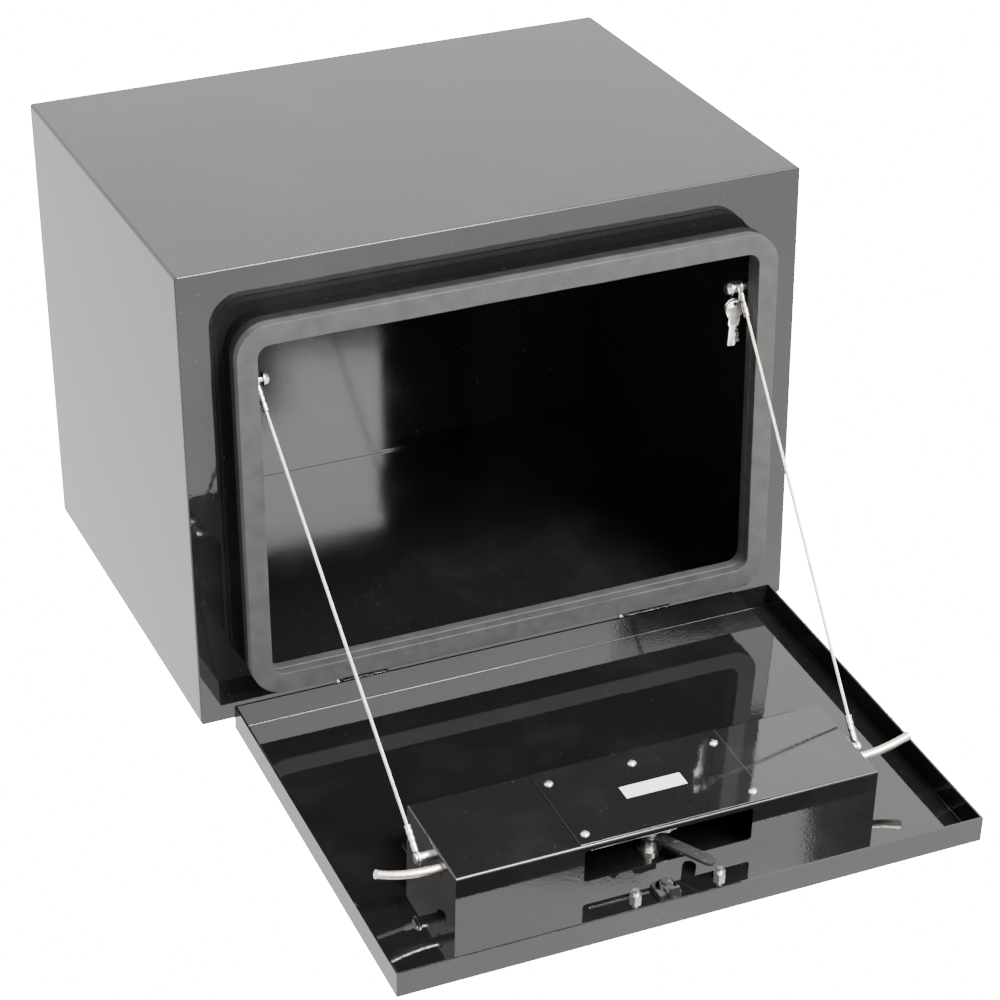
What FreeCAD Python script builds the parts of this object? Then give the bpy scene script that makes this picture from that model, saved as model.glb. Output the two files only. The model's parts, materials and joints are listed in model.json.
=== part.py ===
"""Underbody truck tool box with a drop-down door, modelled with the door open on its cables.

Millimetres. Origin at the centre of the base face, +Z up, the door on the -Y side.
The door and everything on it is built in a flat frame: x across, v up the closed door from
its hinge edge (so y = -v), z = w inward from the panel's inner face. Open() then carries it
to the hinge pin and tips it down by the angle that the cables allow.
"""
import FreeCAD, Part
import math
import os

V = FreeCAD.Vector
X_AXIS = V(1, 0, 0)
Y_AXIS = V(0, 1, 0)
Z_AXIS = V(0, 0, 1)
SIDES = {"left": -1, "right": 1}

# box
WIDTH = 610.0
DEPTH = 457.0
HEIGHT = 457.0
SHEET = 2.0
BEND_R = 3.0
SEAM = 0.3
PAN_FLANGE = 18.0
FRONT_Y = -DEPTH / 2
BACK_Y = DEPTH / 2
MID_Z = HEIGHT / 2

# opening, collar and seal
COLLAR_HALF_W = 263.0
COLLAR_HALF_H = 185.5
COLLAR_R = 30.0
COLLAR_OUT = 26.0
SEAL_PROUD = 2.0
SEAL_WIDE = 20.0
SEAL_INNER_R = 12.0
GRIP_BACK = 16.0
GRIP_FRONT = 27.6
BULB_FRONT = 38.6
BULB_WALL = 2.4

# hinges
PIN_Y = FRONT_Y - 18.0
PIN_Z = 24.0
PIN_R = 2.0
KNUCKLE_R = 4.5
PIN_HOLE_R = 2.05
LEAF = 1.6
HINGE_X = 148.0
HINGE_LEN = 44.0
RIVET_R = 2.0
RIVET_HEAD_R = 3.8

# door
DOOR_W = 558.0
DOOR_L = 403.0
FLANGE = 24.5
OPEN_TILT = 3.6
PIN_V = -KNUCKLE_R
PIN_W = 20.0

# latch cover and access plate
COVER_X0, COVER_X1 = -200.0, 206.0
COVER_V0, COVER_V1 = 230.0, 340.0
COVER_H = 52.0
COVER_T = 1.5
COVER_LIP = 12.0
SLOT_X0, SLOT_X1 = -80.0, 82.0
SLOT_W0, SLOT_W1 = 12.5, 46.5
PLATE_X0, PLATE_X1 = -84.0, 98.0
PLATE_V0, PLATE_V1 = 231.5, 339.0
SCREW_XV = [(-74.0, 250.0), (7.0, 250.0), (88.0, 250.0), (88.0, 326.0), (-74.0, 326.0)]
SCREW_R = 2.5
SCREW_HEAD_R = 4.2
LABEL = (-19.0, 278.0, 40.0, 294.5)

# latch: handle, rotor, links and rods
SPINDLE_V = 304.5
SPINDLE_R = 5.0
ROTOR_W = 28.0
ROTOR_T = 3.0
PIN_CIRCLE_R = 12.73
LINK_PIN_R = 3.0
LINK_W = 31.6
LINK_T = 3.0
ROD_R = 4.0
ROD_W = 40.0
ROD_V = {"left": 307.0, "right": 302.0}
ROD_TIP_X = 259.5
ROD_BEND_X = 207.0
ROD_BEND_R = 130.0
ROD_INNER_X = 34.0
GUIDE_R = 7.0
ARM_W = 15.0
ARM_T = 3.0
ARM_LEN = 62.0
ARM_DEG = 31.0

# handle plate and lock
ESC_HALF_W = 52.0
ESC_V0, ESC_V1 = 238.0, 376.0
ESC_T = 2.5
GASKET_T = 1.0
ESC_STUD_X = 40.5
ESC_STUD_V = (250.0, 362.0)
LOCK_X, LOCK_V = -13.0, 364.5
LOCK_R = 9.0
LOCK_TOP = 8.0
PLUG_R = 6.0
TAIL_LEN = 17.5

# door cables
CABLE_R = 1.6
TOP_BOLT_Y = FRONT_Y - 8.0
TOP_BOLT_Z = 350.0
BOLT_R = 3.0
EYE_R = 7.0
EYE_T = 2.5
FERRULE_R = 3.2
FERRULE_LEN = 24.0
LOW_BOLT_V = 283.0
LOW_BOLT_W = 36.0
EYE_TOP_X = {"left": 238.25, "right": 241.9}
EYE_OFF = 11.0
EYE_LOW_X = {"left": COVER_X0 - EYE_OFF, "right": COVER_X1 + EYE_OFF}

# keys
RING_R = 10.0
RING_WIRE_R = 0.8
SPACER_R = 5.0
RING_X = 236.6
RING_Z = TOP_BOLT_Z + SPACER_R + 0.1 - RING_R + RING_WIRE_R

PARTS = {}


def save(name, solids):
    """Keep one node: a solid, or a group of separate solids."""
    shape = solids if isinstance(solids, Part.Shape) else Part.makeCompound(solids)
    PARTS[name] = shape


def block(x0, y0, z0, x1, y1, z1):
    return Part.makeBox(x1 - x0, y1 - y0, z1 - z0, V(x0, y0, z0))


def rod(start, axis, r, length):
    return Part.makeCylinder(r, length, start, axis)


def fillet(shape, r, keep):
    """Round the edges whose centre passes the test."""
    edges = [e for e in shape.Edges if keep(e.CenterOfMass)]
    return shape.makeFillet(r, edges)


def hexagon(centre, axis, flats, height):
    """Hexagonal prism standing on centre along axis."""
    points = [V(flats / math.sqrt(3) * math.cos(math.radians(a)),
                flats / math.sqrt(3) * math.sin(math.radians(a)), 0) for a in range(0, 361, 60)]
    prism = Part.Face(Part.makePolygon(points)).extrude(V(0, 0, height))
    prism.Placement = FreeCAD.Placement(centre, FreeCAD.Rotation(Z_AXIS, axis))
    return prism


def nut(centre, axis, flats, height, hole_r):
    return hexagon(centre, axis, flats, height).cut(rod(centre, axis, hole_r, height))


def tube(start, axis, r, hole_r, length):
    return rod(start, axis, r, length).cut(rod(start, axis, hole_r, length))


def rounded_face(half_w, half_h, r, y):
    """Rounded rectangle in an XZ plane, centred on the middle of the front."""
    s = math.sqrt(0.5)
    wires = []
    corners = [(1, 1, 0), (-1, 1, 90), (-1, -1, 180), (1, -1, 270)]
    last = None
    for sx, sz, start in corners:
        cx, cz = sx * (half_w - r), MID_Z + sz * (half_h - r)
        a0 = math.radians(start)
        first = V(cx + r * math.cos(a0), y, cz + r * math.sin(a0))
        a1 = a0 + math.pi / 4
        a2 = a0 + math.pi / 2
        middle = V(cx + r * math.cos(a1), y, cz + r * math.sin(a1))
        end = V(cx + r * math.cos(a2), y, cz + r * math.sin(a2))
        if last is not None:
            wires.append(Part.LineSegment(last, first).toShape())
        wires.append(Part.Arc(first, middle, end).toShape())
        last = end
    begin = wires[0].Vertexes[0].Point
    wires.append(Part.LineSegment(last, begin).toShape())
    return Part.Face(Part.Wire(Part.__sortEdges__(wires)))


def ring_round_opening(half_w, half_h, r, wide, inner_r, y0, y1):
    """A band round the opening, from its outer outline inward, between two y planes."""
    outer = rounded_face(half_w, half_h, r, y0).extrude(V(0, y1 - y0, 0))
    inner = rounded_face(half_w - wide, half_h - wide, inner_r, y0).extrude(V(0, y1 - y0, 0))
    return outer.cut(inner)


def flat_point(x, v, w):
    return V(x, -v, w)


def opened(shape):
    """Carry a shape from the flat door frame to the door hanging open on its cables."""
    moved = shape.copy()
    moved.translate(V(0, PIN_Y + PIN_V, PIN_Z - PIN_W))
    moved.rotate(V(0, PIN_Y, PIN_Z), X_AXIS, OPEN_TILT)
    return moved


def opened_point(x, v, w):
    return opened(Part.Vertex(flat_point(x, v, w))).Point


# ---------------------------------------------------------------- box

def make_shell():
    """Top, base and sides, bent from one sheet and welded to the two pans."""
    outer = block(-WIDTH / 2, FRONT_Y + SHEET + SEAM, 0, WIDTH / 2, BACK_Y - SHEET - SEAM, HEIGHT)
    outer = fillet(outer, BEND_R, lambda c: abs(c.y) < 1)
    inner = block(-WIDTH / 2 + SHEET, FRONT_Y, SHEET, WIDTH / 2 - SHEET, BACK_Y, HEIGHT - SHEET)
    inner = fillet(inner, BEND_R - SHEET, lambda c: abs(c.y) < 1)
    return outer.cut(inner)


def make_pan(y_face, inward):
    """A flat end panel with a flange folded in all round, inside the wrap."""
    y_back = y_face + inward * SHEET
    lo, hi = min(y_face, y_back), max(y_face, y_back)
    panel = block(-WIDTH / 2, lo, 0, WIDTH / 2, hi, HEIGHT)
    panel = fillet(panel, BEND_R, lambda c: abs(c.y - (lo + hi) / 2) < 0.1)
    panel = fillet(panel, 1.2, lambda c: abs(c.y - y_face) < 0.01)
    gap = SHEET + SEAM
    y_in = y_face + inward * PAN_FLANGE
    lo, hi = min(y_back, y_in), max(y_back, y_in)
    outer = block(-WIDTH / 2 + gap, lo, gap, WIDTH / 2 - gap, hi, HEIGHT - gap)
    gap += SHEET
    inner = block(-WIDTH / 2 + gap, lo, gap, WIDTH / 2 - gap, hi, HEIGHT - gap)
    return panel.fuse(outer.cut(inner)).removeSplitter()


def make_box():
    save("body_shell", make_shell())
    save("back_pan", make_pan(BACK_Y, -1))
    hole = rounded_face(COLLAR_HALF_W, COLLAR_HALF_H, COLLAR_R, FRONT_Y - 1).extrude(V(0, 50, 0))
    save("front_frame", make_pan(FRONT_Y, 1).cut(hole))
    save("door_collar", ring_round_opening(COLLAR_HALF_W, COLLAR_HALF_H, COLLAR_R, SHEET,
                                           COLLAR_R - SHEET, FRONT_Y - COLLAR_OUT, FRONT_Y + SHEET))


def make_seal():
    """Steel-cored grip pressed on the collar's edge, with a hollow rubber bulb in front."""
    half_w, half_h = COLLAR_HALF_W + SEAL_PROUD, COLLAR_HALF_H + SEAL_PROUD
    r = COLLAR_R + SEAL_PROUD
    grip = ring_round_opening(half_w, half_h, r, SEAL_WIDE, SEAL_INNER_R,
                              FRONT_Y - GRIP_FRONT, FRONT_Y - GRIP_BACK)
    save("seal_grip", grip.cut(PARTS["door_collar"]))
    bulb = ring_round_opening(half_w, half_h, r, SEAL_WIDE, SEAL_INNER_R,
                              FRONT_Y - BULB_FRONT, FRONT_Y - GRIP_FRONT)
    bulb = fillet(bulb, 7.5, lambda c: abs(c.y - (FRONT_Y - BULB_FRONT)) < 0.01)
    core = ring_round_opening(half_w - BULB_WALL, half_h - BULB_WALL, r - BULB_WALL,
                              SEAL_WIDE - 2 * BULB_WALL, SEAL_INNER_R + BULB_WALL,
                              FRONT_Y - BULB_FRONT + BULB_WALL, FRONT_Y - GRIP_FRONT - BULB_WALL)
    core = fillet(core, 4.2, lambda c: abs(c.y - (FRONT_Y - BULB_FRONT + BULB_WALL)) < 0.01)
    save("seal_bulb", bulb.cut(core))


# ---------------------------------------------------------------- hinges

def knuckles(x0, turn):
    """Barrel segments along x for one leaf: turn 0 takes the outer two, 1 the middle one."""
    step = HINGE_LEN / 3
    gap = 0.2
    spans = [(0, 1), (2, 3)] if turn == 0 else [(1, 2)]
    return [rod(V(x0 + a * step + gap, PIN_Y, PIN_Z), X_AXIS, KNUCKLE_R, (b - a) * step - 2 * gap)
            for a, b in spans]


def rivet(centre, axis, grip, flush=False):
    """Solid rivet: shank through the grip, a domed head at each end, or flush at the near one."""
    dome = Part.makeSphere(RIVET_HEAD_R, V(0, 0, 0)).common(
        block(-9, -9, RIVET_HEAD_R * 0.6, 9, 9, 9))
    dome.translate(V(0, 0, -RIVET_HEAD_R * 0.6))
    far = dome.copy()
    far.translate(V(0, 0, grip))
    near = dome.mirror(V(0, 0, 0), Z_AXIS)
    whole = rod(V(0, 0, 0), Z_AXIS, RIVET_R, grip).fuse([far] if flush else [far, near]).removeSplitter()
    whole.Placement = FreeCAD.Placement(centre, FreeCAD.Rotation(Z_AXIS, axis))
    return whole


def make_hinges():
    body_rivets, door_rivets = [], []
    for side, sign in SIDES.items():
        x0 = sign * HINGE_X - HINGE_LEN / 2
        hole = rod(V(x0 - 1, PIN_Y, PIN_Z), X_AXIS, PIN_HOLE_R, HINGE_LEN + 2)
        # body leaf: from under the barrel back to the front plate, then down it
        low = PIN_Z - KNUCKLE_R
        tongue = block(x0 + 0.2, PIN_Y, low, x0 + HINGE_LEN - 0.2, FRONT_Y, low + LEAF)
        relief = block(x0 + HINGE_LEN / 3 - 0.2, PIN_Y - 9, low - 9,
                       x0 + 2 * HINGE_LEN / 3 + 0.2, PIN_Y + KNUCKLE_R + 0.6, low + 9)
        skirt = block(x0 + 0.2, FRONT_Y - LEAF, 2, x0 + HINGE_LEN - 0.2, FRONT_Y, low + LEAF)
        leaf = knuckles(x0, 0)[0].fuse([knuckles(x0, 0)[1], tongue.cut(relief), skirt])
        spots = [V(x0 + d, FRONT_Y - LEAF, 10) for d in (9, HINGE_LEN - 9)]
        mine = [rivet(p, Y_AXIS, LEAF + SHEET) for p in spots]
        body_rivets += mine
        save(side + "_hinge_body_leaf", leaf.cut(hole).cut(Part.makeCompound(mine)).removeSplitter())
        PARTS["front_frame"] = PARTS["front_frame"].cut(Part.makeCompound(mine))
        # door leaf: built in the flat frame, against the outside of the door's hinge flange
        door_leaf = block(x0 + 0.2, 0, 2.5, x0 + HINGE_LEN - 0.2, LEAF, PIN_W)
        for a in (0, 2):
            door_leaf = door_leaf.cut(block(x0 + a * HINGE_LEN / 3 - 0.2, -1, PIN_W - KNUCKLE_R - 0.6,
                                            x0 + (a + 1) * HINGE_LEN / 3 + 0.2, 9, PIN_W + 9))
        spots = [V(x0 + d, -SHEET, 8) for d in (9, HINGE_LEN - 9)]
        mine = [opened(rivet(p, Y_AXIS, LEAF + SHEET, flush=True)) for p in spots]
        door_rivets += mine
        leaf = opened(door_leaf).fuse(knuckles(x0, 1)).cut(hole)
        save(side + "_hinge_door_leaf", leaf.cut(Part.makeCompound(mine)).removeSplitter())
        PARTS["door_pan"] = PARTS["door_pan"].cut(Part.makeCompound(mine))
        head = rod(V(x0 + HINGE_LEN + 0.4, PIN_Y, PIN_Z), X_AXIS, 3.2, 1.6)
        pin = rod(V(x0 - 0.8, PIN_Y, PIN_Z), X_AXIS, PIN_R, HINGE_LEN + 1.4).fuse(head)
        save(side + "_hinge_pin", pin.removeSplitter())
    save("hinge_body_rivets", body_rivets)
    save("hinge_door_rivets", door_rivets)


# ---------------------------------------------------------------- door

def make_door_pan():
    """Door skin with four flanges folded inward."""
    outer = block(-DOOR_W / 2, -DOOR_L, -SHEET, DOOR_W / 2, 0, FLANGE)
    outer = fillet(outer, 2.5, lambda c: abs(c.z + SHEET) < 0.01)
    inner = block(-DOOR_W / 2 + SHEET, -DOOR_L + SHEET, 0, DOOR_W / 2 - SHEET, -SHEET, FLANGE + 1)
    inner = fillet(inner, 0.8, lambda c: abs(c.z) < 0.01)
    pan = outer.cut(inner)
    holes = [rod(flat_point(0, SPINDLE_V, -5), Z_AXIS, SPINDLE_R + 3.0, 10),
             rod(flat_point(LOCK_X, LOCK_V, -5), Z_AXIS, LOCK_R, 10)]
    for x in (-ESC_STUD_X, ESC_STUD_X):
        for v in ESC_STUD_V:
            holes.append(rod(flat_point(x, v, -5), Z_AXIS, BOLT_R, 10))
    return pan.cut(Part.makeCompound(holes))


def make_cover():
    """Raised box over the latch, open underneath, with a spot-welded lip along its back."""
    outer = block(COVER_X0, -COVER_V1, 0, COVER_X1, -COVER_V0, COVER_H)
    top = lambda c: abs(c.z - COVER_H) < 0.01
    outer = fillet(outer, 2.0, top)
    inner = block(COVER_X0 + COVER_T, -COVER_V1 + COVER_T, -1, COVER_X1 - COVER_T,
                  -COVER_V0 - COVER_T, COVER_H - COVER_T)
    lip = block(COVER_X0, -COVER_V0 - COVER_T, 0, COVER_X1, -COVER_V0 + COVER_LIP, COVER_T)
    shell = outer.cut(inner).fuse(lip).removeSplitter()
    slot = block(SLOT_X0, -COVER_V1 - 1, SLOT_W0, SLOT_X1, -COVER_V1 + COVER_T + 1, SLOT_W1)
    slot = fillet(slot, 3.0, lambda c: abs(c.y + COVER_V1 - COVER_T / 2) < 0.01)
    window = block(PLATE_X0 + 22, -PLATE_V1 + 26, COVER_H - 5, PLATE_X1 - 22, -PLATE_V0 - 30, COVER_H + 5)
    shell = shell.cut(slot).cut(window)
    for side, sign in SIDES.items():
        x = COVER_X0 if sign < 0 else COVER_X1
        shell = shell.cut(rod(flat_point(x - 5, ROD_V[side], ROD_W), X_AXIS, GUIDE_R, 10))
        shell = shell.cut(rod(flat_point(x - 5, LOW_BOLT_V, LOW_BOLT_W), X_AXIS, BOLT_R, 10))
    for x, v in SCREW_XV:
        shell = shell.cut(rod(flat_point(x, v, COVER_H - 5), Z_AXIS, SCREW_R, 10))
    return shell


def make_access_plate():
    """Cover plate over the latch's inspection window, with its screws and a blank label."""
    top = COVER_H + COVER_T
    plate = block(PLATE_X0, -PLATE_V1, COVER_H, PLATE_X1, -PLATE_V0, top)
    plate = fillet(plate, 0.6, lambda c: abs(c.z - top) < 0.01)
    screws = []
    for x, v in SCREW_XV:
        plate = plate.cut(rod(flat_point(x, v, COVER_H - 5), Z_AXIS, SCREW_R, 10))
        shank = rod(flat_point(x, v, COVER_H - 5), Z_AXIS, SCREW_R, 5 + COVER_T)
        head = Part.makeSphere(5.2, flat_point(x, v, top - 3.0)).common(
            rod(flat_point(x, v, top), Z_AXIS, SCREW_HEAD_R, 5))
        screws.append(opened(shank.fuse(head).removeSplitter()))
    x0, v0, x1, v1 = LABEL
    label = block(x0, -v1, top, x1, -v0, top + 0.3)
    save("access_plate", opened(plate))
    save("access_plate_screws", screws)
    save("blank_label", opened(label))


def make_handle_plate():
    """Escutcheon on the outside, its gasket, and four studs with nuts inside the door."""
    def sheet(w0, w1, inset):
        slab = block(-ESC_HALF_W + inset, -ESC_V1 + inset, w0, ESC_HALF_W - inset, -ESC_V0 - inset, w1)
        slab = fillet(slab, 8.0, lambda c: abs(c.z - (w0 + w1) / 2) < 0.01)
        cuts = [rod(flat_point(0, SPINDLE_V, w0 - 1), Z_AXIS, SPINDLE_R + 3.0, 9),
                rod(flat_point(LOCK_X, LOCK_V, w0 - 1), Z_AXIS, LOCK_R, 9)]
        return slab.cut(Part.makeCompound(cuts))
    low = -SHEET - GASKET_T - ESC_T
    plate = sheet(low, low + ESC_T, 0)
    plate = fillet(plate, 1.0, lambda c: abs(c.z - low) < 0.01 and abs(c.x) > 20)
    gasket = sheet(-SHEET - GASKET_T, -SHEET, 0.5)
    nuts = []
    for x in (-ESC_STUD_X, ESC_STUD_X):
        for v in ESC_STUD_V:
            stud = rod(flat_point(x, v, low + ESC_T), Z_AXIS, BOLT_R, 9.0 + SHEET + GASKET_T)
            plate = plate.fuse(stud)
            gasket = gasket.cut(stud)
            nuts.append(opened(nut(flat_point(x, v, 0), Z_AXIS, 10, 5, BOLT_R)))
    bush = tube(flat_point(0, SPINDLE_V, low), Z_AXIS, SPINDLE_R + 3.0, SPINDLE_R + 0.08, -low + 2)
    collar = tube(flat_point(0, SPINDLE_V, 0), Z_AXIS, SPINDLE_R + 6.0, SPINDLE_R + 0.08, 3)
    save("handle_plate", opened(plate.removeSplitter()))
    save("handle_gasket", opened(gasket))
    save("handle_plate_nuts", nuts)
    save("spindle_bush", opened(bush.fuse(collar).removeSplitter()))


def make_lock():
    """Cam lock in the handle plate: barrel, square nut, turning plug with its tail."""
    low = -SHEET - GASKET_T - ESC_T
    barrel = rod(flat_point(LOCK_X, LOCK_V, low), Z_AXIS, LOCK_R, LOCK_TOP - low)
    bezel = rod(flat_point(LOCK_X, LOCK_V, low - 2), Z_AXIS, LOCK_R + 2, 2)
    bezel = fillet(bezel, 1.0, lambda c: abs(c.z - (low - 2)) < 0.01)
    bore = rod(flat_point(LOCK_X, LOCK_V, low - 3), Z_AXIS, PLUG_R + 0.06, 30)
    save("lock_barrel", opened(barrel.fuse(bezel).cut(bore).removeSplitter()))
    half = 10.5
    square = block(LOCK_X - half, -LOCK_V - half, 0, LOCK_X + half, -LOCK_V + half, 6)
    square = fillet(square, 1.5, lambda c: abs(c.z - 3) < 0.01)
    save("lock_nut", opened(square.cut(barrel)))
    top = LOCK_TOP + 0.3
    plug = rod(flat_point(LOCK_X, LOCK_V, low - 1.6), Z_AXIS, PLUG_R, top - low + 1.6)
    keyway = block(LOCK_X - 4, -LOCK_V - 1, low - 3, LOCK_X + 4, -LOCK_V + 1, low + 12)
    boss = rod(flat_point(LOCK_X, LOCK_V, top), Z_AXIS, 3.0, 5.0)
    save("lock_plug", opened(plug.cut(keyway).fuse(boss).removeSplitter()))
    end_v = LOCK_V + TAIL_LEN
    tail = block(LOCK_X - 4.5, -end_v, top, LOCK_X + 4.5, -LOCK_V, top + 2.5)
    tail = tail.fuse([rod(flat_point(LOCK_X, LOCK_V, top), Z_AXIS, 6, 2.5),
                      block(LOCK_X - 4.5, -end_v, top, LOCK_X + 4.5, -end_v + 2.5, ARM_W + 3)])
    save("lock_tail", opened(tail.removeSplitter().cut(boss)))
    save("lock_tail_nut", opened(nut(flat_point(LOCK_X, LOCK_V, top + 2.5), Z_AXIS, 8, 2.3, 3.0)))


def make_handle():
    """T-handle outside, its spindle through the door, and the rotor, pins and arm on it."""
    low = -SHEET - GASKET_T - ESC_T
    hub = Part.makeCone(10, 13, 12, flat_point(0, SPINDLE_V, low - 12.4), Z_AXIS)
    bar = block(-48, -SPINDLE_V - 8, low - 24, 48, -SPINDLE_V + 8, low - 12)
    bar = fillet(bar, 7.5, lambda c: abs(abs(c.x) - 48) < 0.01 and abs(c.z - (low - 18)) < 1)
    bar = fillet(bar, 3.5, lambda c: abs(c.z - (low - 24)) < 0.01 or abs(c.z - (low - 12)) < 0.01)
    spindle = rod(flat_point(0, SPINDLE_V, low - 2), Z_AXIS, SPINDLE_R, ROTOR_W + ROTOR_T + 0.2 - low + 2)
    save("t_handle", opened(bar.fuse([hub, spindle]).removeSplitter()))
    rotor = block(-PIN_CIRCLE_R, -SPINDLE_V - 9, ROTOR_W, PIN_CIRCLE_R, -SPINDLE_V + 9, ROTOR_W + ROTOR_T)
    ends = [rod(V(s * PIN_CIRCLE_R, -SPINDLE_V, ROTOR_W), Z_AXIS, 9, ROTOR_T) for s in (-1, 1)]
    holes = [rod(V(s * PIN_CIRCLE_R, -SPINDLE_V, ROTOR_W), Z_AXIS, LINK_PIN_R, ROTOR_T) for s in (-1, 1)]
    holes.append(rod(flat_point(0, SPINDLE_V, ROTOR_W), Z_AXIS, SPINDLE_R, ROTOR_T))
    rotor = rotor.fuse(ends).removeSplitter().cut(Part.makeCompound(holes))
    pins = []
    for s in (-1, 1):
        at = V(s * PIN_CIRCLE_R, -SPINDLE_V, 0)
        pin = rod(at + V(0, 0, ROTOR_W - 1.5), Z_AXIS, 4.6, 1.5)
        pin = pin.fuse(rod(at + V(0, 0, ROTOR_W), Z_AXIS, LINK_PIN_R, LINK_W + LINK_T + 1.8 - ROTOR_W))
        pin = pin.fuse(rod(at + V(0, 0, LINK_W + LINK_T + 0.5), Z_AXIS, 4.6, 1.3))
        pins.append(pin.removeSplitter())
    for s in [rotor] + pins:
        s.rotate(flat_point(0, SPINDLE_V, 0), Z_AXIS, -45)
    save("latch_rotor", opened(rotor))
    save("rotor_pins", [opened(p) for p in pins])
    arm = block(-6, -SPINDLE_V - ARM_LEN, ARM_W, 6, -SPINDLE_V, ARM_W + ARM_T)
    arm = arm.fuse([rod(flat_point(0, SPINDLE_V, ARM_W), Z_AXIS, 11, ARM_T),
                    rod(flat_point(0, SPINDLE_V + ARM_LEN, ARM_W), Z_AXIS, 6, ARM_T)]).removeSplitter()
    arm = arm.cut(rod(flat_point(0, SPINDLE_V, ARM_W), Z_AXIS, SPINDLE_R, ARM_T))
    arm.rotate(flat_point(0, SPINDLE_V, 0), Z_AXIS, ARM_DEG)
    save("lock_arm", opened(arm))
    spans = [(3.2, ARM_W), (ARM_W + ARM_T, ROTOR_W)]
    save("spindle_spacers", [opened(tube(flat_point(0, SPINDLE_V, w0), Z_AXIS, 7.5, SPINDLE_R, w1 - w0))
                             for w0, w1 in spans])


def rod_path(side, sign):
    """Centre line of a latch rod: straight inside the cover, then curved away from the panel."""
    v = ROD_V[side]
    a = math.asin((ROD_TIP_X - ROD_BEND_X) / ROD_BEND_R)

    def on_arc(angle):
        return flat_point(sign * (ROD_BEND_X + ROD_BEND_R * math.sin(angle)), v,
                          ROD_W + ROD_BEND_R * (1 - math.cos(angle)))
    start = flat_point(sign * ROD_INNER_X, v, ROD_W)
    edges = [Part.LineSegment(start, on_arc(0)).toShape(),
             Part.Arc(on_arc(0), on_arc(a / 2), on_arc(a)).toShape()]
    return Part.Wire(edges), start


def make_rods():
    """Latch rods, the slotted link plates on the rotor's pins, and the nylon guides."""
    guides = []
    for side, sign in SIDES.items():
        v = ROD_V[side]
        path, start = rod_path(side, sign)
        section = Part.Wire(Part.makeCircle(ROD_R, start, X_AXIS))
        bar = path.makePipeShell([section], True, False)
        rest = PIN_CIRCLE_R * math.sqrt(0.5)
        slot_v = SPINDLE_V - sign * (rest + PIN_CIRCLE_R) / 2
        pin_x = -sign * rest
        edge_v = SPINDLE_V - sign * 2.5
        far_v = SPINDLE_V - sign * 19.5
        lo_v, hi_v = min(edge_v, far_v), max(edge_v, far_v)
        far_x, near_x = sign * (ROD_INNER_X + 32), pin_x - sign * 7.0
        link = block(min(far_x, near_x), -hi_v, LINK_W, max(far_x, near_x), -lo_v, LINK_W + LINK_T)
        pad_x0, pad_x1 = sorted((far_x, sign * 20.0))
        pad_lo, pad_hi = min(v - 7, lo_v), max(v + 7, hi_v)
        link = link.fuse(block(pad_x0, -pad_hi, LINK_W, pad_x1, -pad_lo, LINK_W + LINK_T))
        seat_x0, seat_x1 = sorted((far_x, sign * ROD_INNER_X))
        seat = block(seat_x0, -v - 5.5, LINK_W + LINK_T, seat_x1, -v + 5.5, ROD_W)
        link = link.fuse(seat).removeSplitter()
        reach = (PIN_CIRCLE_R - rest) / 2
        hole = [rod(flat_point(pin_x, slot_v + d, LINK_W - 1), Z_AXIS, LINK_PIN_R + 0.5, LINK_T + 2)
                for d in (-reach, reach)]
        gap = LINK_PIN_R + 0.5
        hole.append(block(pin_x - gap, -slot_v - reach, LINK_W - 1, pin_x + gap, -slot_v + reach,
                          LINK_W + LINK_T + 1))
        link = link.cut(hole[0].fuse(hole[1:])).cut(bar)
        save(side + "_latch_rod", opened(bar))
        save(side + "_rod_link", opened(link))
        x = COVER_X0 if sign < 0 else COVER_X1
        wall_in = x - sign * COVER_T
        bush = tube(flat_point(wall_in, v, ROD_W), V(sign, 0, 0), GUIDE_R, ROD_R + 0.08, COVER_T)
        flange_in = tube(flat_point(wall_in, v, ROD_W), V(-sign, 0, 0), GUIDE_R + 2, ROD_R + 0.08, 6)
        guides.append(opened(bush.fuse(flange_in).removeSplitter()))
    save("rod_guides", guides)


# ---------------------------------------------------------------- door cables and keys

def eye_end(eye, towards):
    """Ring terminal with its crimped ferrule, lying along the cable from the bolt."""
    along = (towards - eye).normalize()
    neck = rod(eye + along * (EYE_R - 1.2), along, FERRULE_R, FERRULE_LEN)
    ring = rod(eye - X_AXIS * (EYE_T / 2), X_AXIS, EYE_R, EYE_T)
    bore = rod(eye - X_AXIS * 9, X_AXIS, BOLT_R + 0.1, 18)
    return neck.fuse(ring).removeSplitter().cut(bore)


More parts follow.
